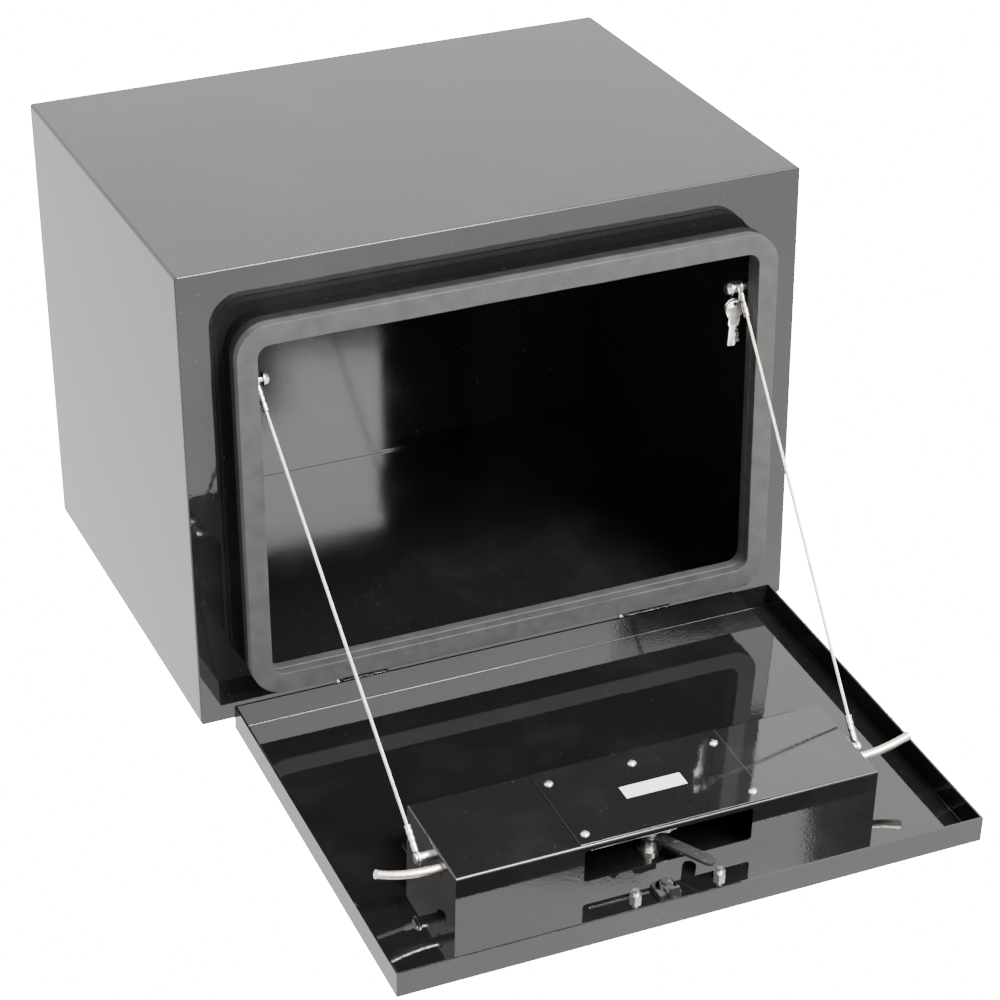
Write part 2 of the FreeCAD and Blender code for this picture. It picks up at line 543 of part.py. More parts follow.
def make_cables():
    low_nuts, low_bolts, low_spacers = [], [], []
    top_bolts, washers, spacers, weld_nuts = [], [], [], []
    for side, sign in SIDES.items():
        eye_x = EYE_TOP_X[side]
        top = V(sign * eye_x, TOP_BOLT_Y, TOP_BOLT_Z)
        low = opened_point(EYE_LOW_X[side], LOW_BOLT_V, LOW_BOLT_W)
        along = (low - top).normalize()
        skip = EYE_R - 1.2 + FERRULE_LEN
        length = (low - top).Length
        save(side + "_cable_rope", rod(top + along * skip, along, CABLE_R, length - 2 * skip))
        save(side + "_cable_upper_end", eye_end(top, low))
        save(side + "_cable_lower_end", eye_end(low, top))
        print(side, "door cable, eye to eye:", round(length, 1), "mm")
        out = V(sign, 0, 0)
        wall = sign * (COLLAR_HALF_W - SHEET)
        at = lambda x: V(sign * x, TOP_BOLT_Y, TOP_BOLT_Z)
        head = hexagon(at(227), out, 10, 4)
        head = head.common(Part.makeCone(4.6, 7.6, 4, at(227), out))
        shank = rod(at(231), out, BOLT_R, abs(wall) - 0.5 - 231)
        top_bolts.append(head.fuse(shank).removeSplitter())
        washers.append(tube(at(231), out, 7, BOLT_R, 1.2))
        past_eye = eye_x + EYE_T / 2 + 0.1
        spacers.append(tube(at(past_eye), out, SPACER_R, BOLT_R, 256.5 - past_eye))
        if side == "right":
            spacers.append(tube(at(232.3), out, SPACER_R, BOLT_R, eye_x - EYE_T / 2 - 0.1 - 232.3))
        weld_nuts.append(nut(at(256.5), out, 10, abs(wall) - 256.5, BOLT_R))
        face = COVER_X0 if sign < 0 else COVER_X1
        at_low = lambda x: flat_point(x, LOW_BOLT_V, LOW_BOLT_W)
        head_x = EYE_LOW_X[side] + sign * (EYE_T / 2 + 0.1)
        inner = face - sign * (COVER_T + 6)
        head = rod(at_low(head_x), out, 5.0, 2.2)
        head = fillet(head, 1.2, lambda c: abs(c.x - head_x) > 2.1)
        shank = rod(at_low(inner), out, BOLT_R, abs(head_x - inner))
        low_bolts.append(opened(head.fuse(shank).removeSplitter()))
        low_nuts.append(opened(nut(at_low(face - sign * (COVER_T + 5)), out, 10, 5, BOLT_R)))
        low_spacers.append(opened(tube(at_low(face), out, SPACER_R, BOLT_R, EYE_OFF - EYE_T / 2 - 0.1)))
    save("cable_top_bolts", top_bolts)
    save("cable_top_washers", washers)
    save("cable_top_spacers", spacers)
    save("cable_weld_nuts", weld_nuts)
    save("cable_lower_bolts", low_bolts)
    save("cable_lower_nuts", low_nuts)
    save("cable_lower_spacers", low_spacers)


def make_key(turn, offset_y):
    """Flat key hanging blade down from the ring: round bow with a hole, notched blade."""
    bow_z = 8.5
    t = 2.0
    bow = rod(V(0, -t / 2, -bow_z), Y_AXIS, 9.5, t)
    shoulder = block(-5.5, -t / 2, -bow_z - 16, 5.5, t / 2, -bow_z)
    blade = block(-4, -t / 2, -bow_z - 37, 4, t / 2, -bow_z - 15)
    key = bow.fuse([shoulder, blade]).removeSplitter()
    key = key.cut(rod(V(0, -t, -2.6), Y_AXIS, 2.4, 2 * t))
    for k, deep in enumerate((1.6, 2.4, 1.2, 2.0, 1.4)):
        z = -bow_z - 18.5 - 3.6 * k
        notch = Part.Face(Part.makePolygon([V(4.1, -t, z), V(4.1 - deep, -t, z - 1.5),
                                            V(4.1, -t, z - 3.0), V(4.1, -t, z)])).extrude(V(0, 2 * t, 0))
        key = key.cut(notch)
    key.rotate(V(0, 0, 0), Y_AXIS, turn)
    key.translate(V(RING_X, TOP_BOLT_Y + offset_y, RING_Z - RING_R + RING_WIRE_R + 0.95))
    return key


def make_keys():
    """Split ring hung round the right-hand bolt's inner sleeve, with two keys on it."""
    ring = Part.makeTorus(RING_R, RING_WIRE_R, V(RING_X, TOP_BOLT_Y, RING_Z), X_AXIS)
    save("key_ring", ring)
    save("first_key", make_key(4, -2.4))
    save("second_key", make_key(-5, 2.4))


def main():
    make_box()
    make_seal()
    PARTS["door_pan"] = opened(make_door_pan())
    make_hinges()
    save("latch_cover", opened(make_cover()))
    make_access_plate()
    make_handle_plate()
    make_lock()
    make_handle()
    make_rods()
    make_cables()
    make_keys()
    os.makedirs("parts", exist_ok=True)
    for name, shape in PARTS.items():
        bad = [s for s in shape.Solids if not s.isValid()]
        print(f"{name}: {len(shape.Solids)} solid(s), {sum(s.Volume for s in shape.Solids):.0f} mm3"
              + (" INVALID" if bad or not shape.Solids else ""))
        shape.exportStep(f"parts/{name}.step")
    print(len(PARTS), "nodes")


main()
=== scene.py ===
# %% [markdown]
# # An underbody truck tool box, open
# A welded steel box hangs under a truck's deck. Its door drops down on two wire ropes, a rubber
# seal runs round the opening, and a raised cover on the door hides the latch. The shapes come
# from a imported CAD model, which is loaded as a fixed frame. This lesson gives each part its
# finish, and models by hand the pieces whose small shapes a CAD solid leaves out: the seal, the
# twisted ropes and their crimped ends, the cross-head screws, the keys and their split ring.
# Lengths are in metres.

# %% Load the frame
import bpy
import json
import math
from mathutils import Matrix, Vector


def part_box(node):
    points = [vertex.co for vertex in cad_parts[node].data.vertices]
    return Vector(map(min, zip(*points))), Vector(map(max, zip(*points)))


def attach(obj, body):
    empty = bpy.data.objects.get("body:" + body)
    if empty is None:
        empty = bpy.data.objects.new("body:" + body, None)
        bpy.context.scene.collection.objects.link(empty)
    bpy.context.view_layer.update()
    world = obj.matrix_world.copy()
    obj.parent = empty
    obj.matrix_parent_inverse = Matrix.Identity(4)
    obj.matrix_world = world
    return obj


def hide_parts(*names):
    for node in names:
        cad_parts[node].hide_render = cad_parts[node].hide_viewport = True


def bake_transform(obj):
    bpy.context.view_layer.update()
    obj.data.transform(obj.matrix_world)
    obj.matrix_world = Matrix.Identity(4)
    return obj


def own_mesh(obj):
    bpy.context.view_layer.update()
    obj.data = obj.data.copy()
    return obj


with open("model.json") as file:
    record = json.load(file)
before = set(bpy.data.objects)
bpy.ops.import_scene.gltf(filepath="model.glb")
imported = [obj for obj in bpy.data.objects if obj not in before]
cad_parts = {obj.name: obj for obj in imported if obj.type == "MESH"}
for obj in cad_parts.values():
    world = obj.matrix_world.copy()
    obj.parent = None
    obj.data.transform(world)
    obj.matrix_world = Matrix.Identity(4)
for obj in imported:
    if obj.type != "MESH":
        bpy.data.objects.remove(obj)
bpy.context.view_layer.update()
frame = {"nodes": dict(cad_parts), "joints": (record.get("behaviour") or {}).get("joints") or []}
nodes = frame["nodes"]

# %% [markdown]
# ## The camera
# The box is seen from above its front left corner, with a long lens from about three metres, so
# the edges converge only a little. The camera gets a place of its own, is aimed by an azimuth
# and an elevation, and is then rolled by just under a degree, as one held by hand would be.

# %% Camera
AZIMUTH, ELEVATION, ROLL = math.radians(-22.120), math.radians(28.812), math.radians(-0.900)
back = Vector((math.sin(AZIMUTH) * math.cos(ELEVATION),
               -math.cos(AZIMUTH) * math.cos(ELEVATION), math.sin(ELEVATION)))
lens = bpy.data.cameras.new("camera")
lens.lens, lens.sensor_width = 106.9, 36.0
lens.shift_x, lens.shift_y = 0.06, 0.01
lens.clip_start, lens.clip_end = 0.05, 60
camera = bpy.data.objects.new("camera", lens)
bpy.context.scene.collection.objects.link(camera)
camera.rotation_mode = "QUATERNION"
camera.location = (-0.97515, -2.47679, 1.51023)
camera.rotation_quaternion = ((-back).to_track_quat("-Z", "Y")
                              @ Matrix.Rotation(ROLL, 3, "Z").to_quaternion())
bpy.context.scene.camera = camera
print("camera at", [round(c, 2) for c in camera.location])

# %% [markdown]
# ## A plain pale floor
# Black gloss paint shows almost nothing of its own: what the eye reads is the room in it. So the
# floor lies well below the box, as the ground does below a truck's deck, and the paint mirrors
# it. An overexposed studio floor burns out to plain white. Camera rays alone see it that bright,
# so it doesn't light the box too strongly, and from below it lets them through.

# %% Floor
FLOOR_Z, FLOOR_RADIUS, FLOOR_GREY, FLOOR_GLOW = -1.3, 22, 0.56, 24
bpy.ops.object.select_all(action="DESELECT")
bpy.ops.mesh.primitive_circle_add(vertices=64, radius=FLOOR_RADIUS, fill_type="NGON",
                                  location=(0, 4, FLOOR_Z))
floor = bpy.context.object
floor.name = "floor"
pale = bpy.data.materials.new("pale_floor")
pale.use_nodes = True
tree = pale.node_tree
tree.nodes["Principled BSDF"].inputs["Base Color"].default_value = (*[FLOOR_GREY] * 3, 1)
tree.nodes["Principled BSDF"].inputs["Roughness"].default_value = 0.9
burnt = tree.nodes.new("ShaderNodeEmission")
burnt.inputs["Strength"].default_value = FLOOR_GLOW
seen = tree.nodes.new("ShaderNodeLightPath")
either = tree.nodes.new("ShaderNodeMixShader")
tree.links.new(seen.outputs["Is Camera Ray"], either.inputs[0])
tree.links.new(tree.nodes["Principled BSDF"].outputs[0], either.inputs[1])
tree.links.new(burnt.outputs[0], either.inputs[2])
under = tree.nodes.new("ShaderNodeMixShader")
tree.links.new(tree.nodes.new("ShaderNodeNewGeometry").outputs["Backfacing"], under.inputs[0])
tree.links.new(either.outputs[0], under.inputs[1])
tree.links.new(tree.nodes.new("ShaderNodeBsdfTransparent").outputs[0], under.inputs[2])
tree.links.new(under.outputs[0], tree.nodes["Material Output"].inputs["Surface"])
floor.data.materials.append(pale)
print("floor at", FLOOR_Z, "m")

# %% [markdown]
# ## A white sky and soft lamps
# The room is white all round and brighter overhead. One lamp hangs over the floor in front and
# makes it brighter than behind: the front of the box mirrors that part. Three smaller ones stand
# in front to the right, where the square inside corners throw their light back to the camera.

# %% Sky and lamps
SKY, OVERHEAD, FRONT, SIDE, LOW = 2.25, 1000.0, 50.0, 18.0, 5.6
RISE_FROM, RISE_TO, RISE_BY = 0.50, 0.60, 1.75
sky = bpy.data.worlds.new("sky")
sky.use_nodes = True
sky.node_tree.nodes["Background"].inputs["Color"].default_value = (1.0, 0.99, 0.975, 1)
tree = sky.node_tree
where = tree.nodes.new("ShaderNodeTexCoord")
axes = tree.nodes.new("ShaderNodeSeparateXYZ")
lift = tree.nodes.new("ShaderNodeMapRange")
for name, value in (("From Min", RISE_FROM), ("From Max", RISE_TO),
                    ("To Min", SKY), ("To Max", SKY * RISE_BY)):
    lift.inputs[name].default_value = value
tree.links.new(where.outputs["Generated"], axes.inputs[0])
tree.links.new(axes.outputs[2], lift.inputs["Value"])
tree.links.new(lift.outputs[0], tree.nodes["Background"].inputs["Strength"])
bpy.context.scene.world = sky


def area_lamp(name, at, towards, wide, tall, watts):
    bpy.ops.object.light_add(type="AREA", location=at)
    lamp = bpy.context.object
    lamp.name = name
    lamp.data.shape, lamp.data.size, lamp.data.size_y = "RECTANGLE", wide, tall
    lamp.data.energy = watts
    lamp.rotation_euler = (Vector(at) - Vector(towards)).to_track_quat("Z", "Y").to_euler()


area_lamp("overhead_lamp", (1.15, -3.1, 4.5), (1.15, -3.0, FLOOR_Z), 1.6, 1.6, OVERHEAD)
area_lamp("front_lamp", (0.557, -2.0, 1.325), (-0.033, -0.54, 0.465), 0.73, 0.40, FRONT)
area_lamp("side_lamp", (1.08, -1.79, 1.325), (0.49, -0.33, 0.465), 0.40, 0.40, SIDE)
area_lamp("low_lamp", (0.836, -2.024, 1.093), (0.246, -0.564, 0.233), 0.26, 0.13, LOW)
print("sky and four lamps are in")

# %% [markdown]
# ## Shader maths as Python
# A finish is a small sum: a noise, times a strength, plus a base. Writing it as Python keeps it
# readable. One class holds a node's socket and turns +, - and * into Math nodes. Every other
# node comes from one method, which takes its type, its settings and what feeds its sockets.

# %% Socket and Finish
class Socket:
    """A node's output that can be added, taken away and multiplied."""

    def __init__(self, finish, link):
        self.finish, self.link = finish, link

    def maths(self, operation, a, b):
        return self.finish.node("ShaderNodeMath", {"operation": operation}, {0: a, 1: b})

    def __add__(self, other):
        return self.maths("ADD", self, other)

    def __sub__(self, other):
        return self.maths("SUBTRACT", self, other)

    def __rsub__(self, other):
        return self.maths("SUBTRACT", other, self)

    def __mul__(self, other):
        return self.maths("MULTIPLY", self, other)

    __radd__, __rmul__ = __add__, __mul__


class Finish:
    """A material with one Principled shader, built up node by node."""

    def __init__(self, name, **fixed):
        self.material = bpy.data.materials.new(name)
        self.material.use_nodes = True
        self.tree = self.material.node_tree
        self.shader = self.tree.nodes["Principled BSDF"]
        self.place = self.node("ShaderNodeTexCoord", output="Object")
        self.set(**fixed)

    def node(self, kind, settings=None, inputs=None, output=0):
        made = self.tree.nodes.new(kind)
        for name, value in (settings or {}).items():
            if name == "stops":
                ramp = made.color_ramp
                ramp.elements[0].position, ramp.elements[1].position = value[0][0], value[-1][0]
                for position, _ in value[1:-1]:
                    ramp.elements.new(position)
                for element, (_, grey) in zip(ramp.elements, value):
                    element.color = (grey, grey, grey, 1)
            else:
                setattr(made, name, value)
        for name, value in (inputs or {}).items():
            self.feed(made.inputs[name], value)
        return Socket(self, made.outputs[output])

    def feed(self, socket, value):
        if isinstance(value, Socket):
            self.tree.links.new(value.link, socket)
        else:
            socket.default_value = value

    def set(self, **values):
        for name, value in values.items():
            if isinstance(value, tuple) and len(value) == 3:
                value = (*value, 1)
            self.feed(self.shader.inputs[name.replace("_", " ")], value)

    def noise(self, scale, detail=2.0, rough=0.5, stretch=(1, 1, 1)):
        """Grey noise; a blotch is about one over the scale, longer where stretch is small."""
        where = self.place
        if stretch != (1, 1, 1):
            where = self.node("ShaderNodeMapping", None, {"Vector": where, "Scale": stretch})
        return self.node("ShaderNodeTexNoise", None,
                         {"Vector": where, "Scale": scale, "Detail": detail, "Roughness": rough})

    def step(self, value, low, high):
        """0 below low, 1 above high, smooth between."""
        return self.node("ShaderNodeMapRange", {"interpolation_type": "SMOOTHSTEP"},
                         {"Value": value, "From Min": low, "From Max": high})

    def blend(self, mask, a, b):
        """Colour a where the mask is 0, b where it is 1."""
        return self.node("ShaderNodeMix", {"data_type": "RGBA"},
                         {0: mask, 6: (*a, 1) if isinstance(a, tuple) else a,
                          7: (*b, 1) if isinstance(b, tuple) else b}, output=2)

    def bump(self, height, strength, distance, under=None):
        feeds = {"Height": height, "Strength": strength, "Distance": distance}
        if under is not None:
            feeds["Normal"] = under
        return self.node("ShaderNodeBump", None, feeds)


# %% [markdown]
# ## Black powder coat
# Powder paint is sprayed dry and baked, so it flows into a deep gloss with a faint orange peel:
# soft dimples two or three millimetres across. Handling leaves patches that are a little duller,
# and a few specks of dust lie in it. The peel goes to the bump, the patches to the roughness.
# The shell is a little duller than the front. The collar's lip is painted shade: a darker coat with
# no gloss, for the shade the seal casts on it.

# %% Powder coat
def powder_coat(name, dust, gloss=0.5, rough=0.035, tone=0.005, dimple=0.03):
    """Black gloss paint; dust is the share of the surface under fine pale specks."""
    coat = Finish(name, IOR=1.5, Specular_IOR_Level=gloss)
    peel = coat.noise(330, 1.5, 0.45)
    sag = coat.noise(26, 1.0, 0.4)
    wiped = coat.step(coat.noise(9, 5.0, 0.6), 0.46, 0.72)
    specks = coat.step(coat.noise(620, 1.0, 0.5), 0.80 - dust, 0.84 - dust)
    tone = coat.blend(wiped, (tone, tone, tone * 1.05), (tone * 1.6, tone * 1.6, tone * 1.6))
    coat.set(Base_Color=coat.blend(specks, tone, (0.10, 0.097, 0.094)),
             Roughness=rough + wiped * 0.035 + specks * 0.4,
             Normal=coat.bump(peel, dimple, 0.0004, coat.bump(sag, 0.012, 0.002)))
    return coat.material


outside_coat = powder_coat("outside_coat", 0.02)
shell_coat = powder_coat("shell_coat", 0.03, rough=0.065, dimple=0.012)
inside_coat = powder_coat("inside_coat", 0.015, gloss=0.45, tone=0.0032)
# The collar's coat is painted shade: darker and without gloss, for the shade under the seal.
collar_painted_shade_coat = powder_coat("collar_painted_shade_coat", 0.03, gloss=0.0, rough=0.40, tone=0.0035)
print("powder coats:", outside_coat.name, shell_coat.name, inside_coat.name, collar_painted_shade_coat.name)

# %% [markdown]
# ## Rubber
# Door seal is dark grey sponge rubber with a skin: matt, slightly mottled, with fine pores. Its
# firm grip is dense glossy rubber, and its outer side is near black as painted shade, for the
# shade the bulb casts over the collar. The gasket behind the handle plate is a plain black sheet
# with a little bloom on it. One recipe makes all three.

# %% Rubber finishes
def rubber(name, dark, light, pores, gloss=0.5):
    skin = Finish(name, IOR=1.45, Specular_IOR_Level=gloss)
    mottled = skin.step(skin.noise(60, 5.0, 0.6), 0.3, 0.7)
    fine = skin.noise(pores, 3.0, 0.6)
    skin.set(Base_Color=skin.blend(mottled, dark, light),
             Roughness=0.50 + fine * 0.22,
             Normal=skin.bump(fine, 0.35, 0.0003))
    return skin.material


seal_rubber = rubber("seal_rubber", (0.019, 0.019, 0.0193), (0.029, 0.029, 0.0285), 1400)
# The grip's rubber is near black as painted shade, for the shade under the bulb.
grip_painted_shade_rubber = rubber("grip_painted_shade_rubber", (0.004, 0.004, 0.004), (0.007, 0.007, 0.007), 1400, 0.15)
gasket_rubber = rubber("gasket_rubber", (0.012, 0.012, 0.012), (0.022, 0.022, 0.022), 1800)
print("rubbers:", seal_rubber.name, grip_painted_shade_rubber.name, gasket_rubber.name)

# %% [markdown]
# ## Plated and polished steel
# Bolts, rods and hinges are zinc plated: a bright grey with cloudy spangle and fine draw marks.
# The handle plate is brushed one way, the T-handle and lock are chromed, and the keys are nickel
# with a cloudy wear. All of them are the same recipe with other numbers.

# %% Metals
def metal(name, tone, worn, rough, spread, marks, stretch=(1, 1, 1), dents=0.15):
    """Bare or plated metal: cloudy tone, fine marks that stretch can draw out into lines."""
    plate = Finish(name, Metallic=1.0)
    cloud = plate.step(plate.noise(110, 4.0, 0.6), 0.25, 0.75)
    lines = plate.noise(marks, 3.0, 0.6, stretch)
    plate.set(Base_Color=plate.blend(cloud, tone, worn),
              Roughness=rough + cloud * spread + lines * spread,
              Normal=plate.bump(lines, dents, 0.0002))
    return plate.material


zinc = metal("zinc_plate", (0.56, 0.55, 0.53), (0.70, 0.68, 0.65), 0.16, 0.14, 900)
drawn_rod = metal("drawn_rod", (0.60, 0.53, 0.47), (0.72, 0.66, 0.60), 0.20, 0.12, 1500,
                  stretch=(0.04, 1, 1))
brushed = metal("brushed_plate", (0.50, 0.50, 0.49), (0.60, 0.60, 0.59), 0.20, 0.12, 1600,
                stretch=(0.02, 1, 1))
chrome = metal("chrome_plate", (0.70, 0.71, 0.72), (0.78, 0.78, 0.79), 0.03, 0.04, 500, dents=0.03)
nickel = metal("key_nickel", (0.62, 0.59, 0.54), (0.74, 0.71, 0.66), 0.22, 0.14, 1100)
strand = metal("rope_strand", (0.44, 0.38, 0.32), (0.62, 0.56, 0.49), 0.24, 0.16, 1300)
print("metals:", *(finish.name for finish in (zinc, drawn_rod, brushed, chrome, nickel, strand)))

# %% [markdown]
# ## Plastic, black steel and the label
# The rod guides are black nylon with a fine spark-eroded grain. The lock's arm and square nut
# are steel under thin black paint that has rubbed through in places. The label is white film,
# left blank, with a slight wave in it.

# %% Small finishes
nylon_finish = Finish("black_nylon", IOR=1.5)
grain = nylon_finish.noise(1900, 2.0, 0.6)
nylon_finish.set(Base_Color=nylon_finish.blend(grain, (0.012, 0.012, 0.012),
                                               (0.026, 0.026, 0.026)),
                 Roughness=0.42 + grain * 0.2, Normal=nylon_finish.bump(grain, 0.3, 0.0002))
nylon = nylon_finish.material

thin_paint = Finish("thin_black_paint")
rubbed = thin_paint.step(thin_paint.noise(170, 5.0, 0.65), 0.60, 0.68)
thin_paint.set(Base_Color=thin_paint.blend(rubbed, (0.018, 0.018, 0.018), (0.34, 0.33, 0.32)),
               Metallic=rubbed * 0.9, Roughness=0.34 - rubbed * 0.06,
               Normal=thin_paint.bump(rubbed, 0.2, 0.0001))
black_steel = thin_paint.material

film = Finish("label_film", IOR=1.46)
wave = film.noise(70, 1.0, 0.5)
print_tone = film.step(film.noise(240, 3.0, 0.5), 0.3, 0.8)
film.set(Base_Color=film.blend(print_tone, (0.50, 0.50, 0.49), (0.42, 0.42, 0.41)),
         Roughness=0.30 + wave * 0.1, Normal=film.bump(wave, 0.2, 0.0006))
label_film = film.material
print("small finishes:", nylon.name, black_steel.name, label_film.name)

# %% [markdown]
# ## Dressing the CAD parts
# The folded sheets, hinges and latch already have their true shape, so they stay, and only
# their material slots are filled. A table says which finish each named part wears.

# %% Finishes on the CAD nodes
wears = {
    shell_coat: ["body_shell", "back_pan"],
    outside_coat: ["front_frame", "latch_cover", "access_plate"],
    inside_coat: ["door_pan", "hinge_door_rivets"],
    # The collar wears the painted-shade coat.
    collar_painted_shade_coat: ["door_collar"],
    zinc: ["left_hinge_body_leaf", "right_hinge_body_leaf", "left_hinge_door_leaf",
           "right_hinge_door_leaf", "left_hinge_pin", "right_hinge_pin", "hinge_body_rivets",
           "handle_plate_nuts", "spindle_bush", "latch_rotor", "rotor_pins", "spindle_spacers",
           "cable_top_bolts", "cable_top_washers", "cable_top_spacers", "cable_weld_nuts",
           "cable_lower_bolts", "cable_lower_nuts", "cable_lower_spacers"],
    drawn_rod: ["left_latch_rod", "right_latch_rod", "left_rod_link", "right_rod_link"],
    brushed: ["handle_plate"],
    chrome: ["t_handle", "lock_barrel"],
    nylon: ["rod_guides"],
    black_steel: ["lock_arm", "lock_nut", "lock_plug", "lock_tail", "lock_tail_nut"],
    gasket_rubber: ["handle_gasket"],
    label_film: ["blank_label"],
}
for finish, names in wears.items():
    for name in names:
        nodes[name].data.materials.clear()
        nodes[name].data.materials.append(finish)
print(sum(len(names) for names in wears.values()), "CAD parts dressed")

# %% [markdown]
# ## Working on a mesh
# An operator acts on all that is selected, and loading left everything selected. These helpers
# start each new piece clean, pick faces or vertices by where they are, run a modifier and apply
# it, and leave the finished object at the origin with its place in its mesh.

# %% Modelling helpers
def start_piece(name, add, **settings):
    """Adds one primitive, alone in the selection, and names it."""
    if bpy.context.object and bpy.context.object.mode == "EDIT":
        bpy.ops.object.mode_set(mode="OBJECT")
    bpy.ops.object.select_all(action="DESELECT")
    add(**settings)
    made = bpy.context.object
    made.name = name
    bpy.ops.object.transform_apply(location=True, rotation=True, scale=True)
    return made


def only(piece):
    bpy.ops.object.select_all(action="DESELECT")
    piece.select_set(True)
    bpy.context.view_layer.objects.active = piece


def pick(piece, kind, test):
    """Opens edit mode with just the vertices, edges or faces whose middle passes the test."""
    only(piece)
    bpy.ops.object.mode_set(mode="EDIT")
    bpy.ops.mesh.select_mode(type=kind)
    bpy.ops.mesh.select_all(action="DESELECT")
    bpy.ops.object.mode_set(mode="OBJECT")
    mesh = piece.data
    if kind == "VERT":
        for v in mesh.vertices:
            v.select = test(v.co)
    elif kind == "EDGE":
        for e in mesh.edges:
            e.select = test((mesh.vertices[e.vertices[0]].co + mesh.vertices[e.vertices[1]].co) / 2)
    else:
        for f in mesh.polygons:
            f.select = test(f.center)
    bpy.ops.object.mode_set(mode="EDIT")


def done():
    bpy.ops.object.mode_set(mode="OBJECT")


def shape_with(piece, kind, **settings):
    """Adds a modifier, sets it and applies it."""
    only(piece)
    modifier = piece.modifiers.new(kind.lower(), kind)
    for name, value in settings.items():
        setattr(modifier, name, value)
    bpy.ops.object.modifier_apply(modifier=modifier.name)


def break_edges(piece, width, degrees):
    """A small bevel along every edge sharper than so many degrees."""
    shape_with(piece, "BEVEL", width=width, segments=2, limit_method="ANGLE",
               angle_limit=math.radians(degrees))


def smooth(piece, degrees):
    only(piece)
    bpy.ops.object.shade_smooth_by_angle(angle=math.radians(degrees))


def cut(piece, tool, operation="DIFFERENCE"):
    """Cuts the tool out of the piece, or joins it on, and removes the tool."""
    shape_with(piece, "BOOLEAN", operation=operation, object=tool, solver="EXACT")
    bpy.data.objects.remove(tool)


def copies(piece, name, places):
    """One mesh made of a copy of the piece at each place; the piece itself is removed."""
    made = []
    for place in places:
        twin = piece.copy()
        twin.data = piece.data.copy()
        twin.data.transform(place)
        bpy.context.scene.collection.objects.link(twin)
        made.append(twin)
    bpy.data.objects.remove(piece)
    bpy.ops.object.select_all(action="DESELECT")
    for twin in made:
        twin.select_set(True)
    bpy.context.view_layer.objects.active = made[0]
    if len(made) > 1:
        bpy.ops.object.join()
    bpy.context.object.name = name
    return bpy.context.object


def wear(piece, finish):
    piece.data.materials.clear()
    piece.data.materials.append(finish)


# %% [markdown]
# ## The door's own frame
# Everything on the door is easier to place on a flat door: x across, y away from the hinge, z in
# from the panel. One matrix then moves a flat piece to the open door, which hangs a few degrees
# past level because that is where the ropes stop it. The joint in the record says how far.

# %% From the flat door to the open door
hinge = next(j for j in frame["joints"] if j["name"] == "door_hinge")
PIN = Vector(hinge["pos_m"])
TILT = math.radians(hinge["range_deg"][1] - 90)
ON_DOOR = (Matrix.Translation(PIN) @ Matrix.Rotation(TILT, 4, "X")
           @ Matrix.Translation((0, -0.0045, -0.020)))
print("door tips", round(math.degrees(TILT), 2), "degrees below level")

# %% [markdown]
# ## The door seal
# The real seal is one length of trim pushed over the collar's edge: a firm grip at the back and
# a soft hollow bulb in front, with a nip between them. Both rings are modelled the same way: a
# flat rectangle, its corners bevelled round, inset by the trim's width, its middle taken out, and
# the band pulled forward. Its long edges are then bevelled, widely on the bulb and finely on the
# grip.

# %% Seal rings
low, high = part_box("seal_bulb")
MID = (low + high) / 2
WIDE, TALL = high.x - low.x, high.z - low.z
BAND, CORNER = 0.020, 0.032
NIP, GRIP_DEEP, GRIP_FRONT = 0.0004, 0.0116, 0.0006
FLAT = 1e-5


def seal_ring(name, y_back, y_front, front_round, back_round, inset):
    ring = start_piece(name, bpy.ops.mesh.primitive_plane_add, size=1,
                       location=(MID.x, y_back, MID.z), rotation=(math.pi / 2, 0, 0))
    ring.data.transform(Matrix.Translation((MID.x, y_back, MID.z))
                        @ Matrix.Diagonal((WIDE - 2 * inset, 1, TALL - 2 * inset, 1))
                        @ Matrix.Translation((-MID.x, -y_back, -MID.z)))
    pick(ring, "VERT", lambda c: True)
    bpy.ops.mesh.bevel(offset=CORNER - inset, segments=12, affect="VERTICES")
    bpy.ops.mesh.select_all(action="SELECT")
    bpy.ops.mesh.inset(thickness=BAND - 2 * inset)
    done()
    pick(ring, "FACE", lambda c: abs(c.x - MID.x) < 0.1 and abs(c.z - MID.z) < 0.1)
    bpy.ops.mesh.delete(type="FACE")
    bpy.ops.mesh.select_all(action="SELECT")
    pull = {"value": (0, y_front - y_back, 0)}
    bpy.ops.mesh.extrude_region_move(TRANSFORM_OT_translate=pull)
    bpy.ops.mesh.select_all(action="SELECT")
    bpy.ops.mesh.normals_make_consistent(inside=False)
    done()
    for at, width in ((y_front, front_round), (y_back, back_round)):
        pick(ring, "EDGE", lambda c: abs(c.y - at) < FLAT)
        mesh = ring.data
        done()
        for e in mesh.edges:
            a, b = (mesh.vertices[v].co for v in e.vertices)
            flat = abs(a.y - at) < FLAT and abs(b.y - at) < FLAT
            e.select = flat and any(abs(f.normal.y) < 0.5 for f in mesh.polygons
                                    if set(e.vertices) <= set(f.vertices))
        bpy.ops.object.mode_set(mode="EDIT")
        bpy.ops.mesh.bevel(offset=width, segments=5, affect="EDGES", clamp_overlap=True)
        done()
    return ring


grip = seal_ring("seal_grip_trim", high.y - NIP + GRIP_DEEP, high.y + GRIP_FRONT,
                 front_round=0.0012, back_round=0.0010, inset=0.0006)
bulb = seal_ring("seal_bulb_trim", high.y - NIP, low.y,
                 front_round=0.0070, back_round=0.0022, inset=0.0)
for ring in (grip, bulb):
    print(ring.name, len(ring.data.polygons), "faces")

# %% [markdown]
# The long runs are still single faces. Cutting them across with bisect planes every centimetre
# and a half gives a little displacement something to move, so that the bulb wanders as soft
# rubber does. The grip's outer faces get the near-black rubber, which is painted shade for the
# shade the bulb casts over the collar.

# %% Divide the long runs and let the bulb wander
PITCH, SQUASHED = 0.0155, 0.86


def slice_across(piece, axis, places):
    for place in places:
        only(piece)
        bpy.ops.object.mode_set(mode="EDIT")
        bpy.ops.mesh.select_all(action="SELECT")
        at = (place, 0, 0) if axis == "x" else (0, 0, place)
        normal = (1, 0, 0) if axis == "x" else (0, 0, 1)
        bpy.ops.mesh.bisect(plane_co=at, plane_no=normal)
        done()


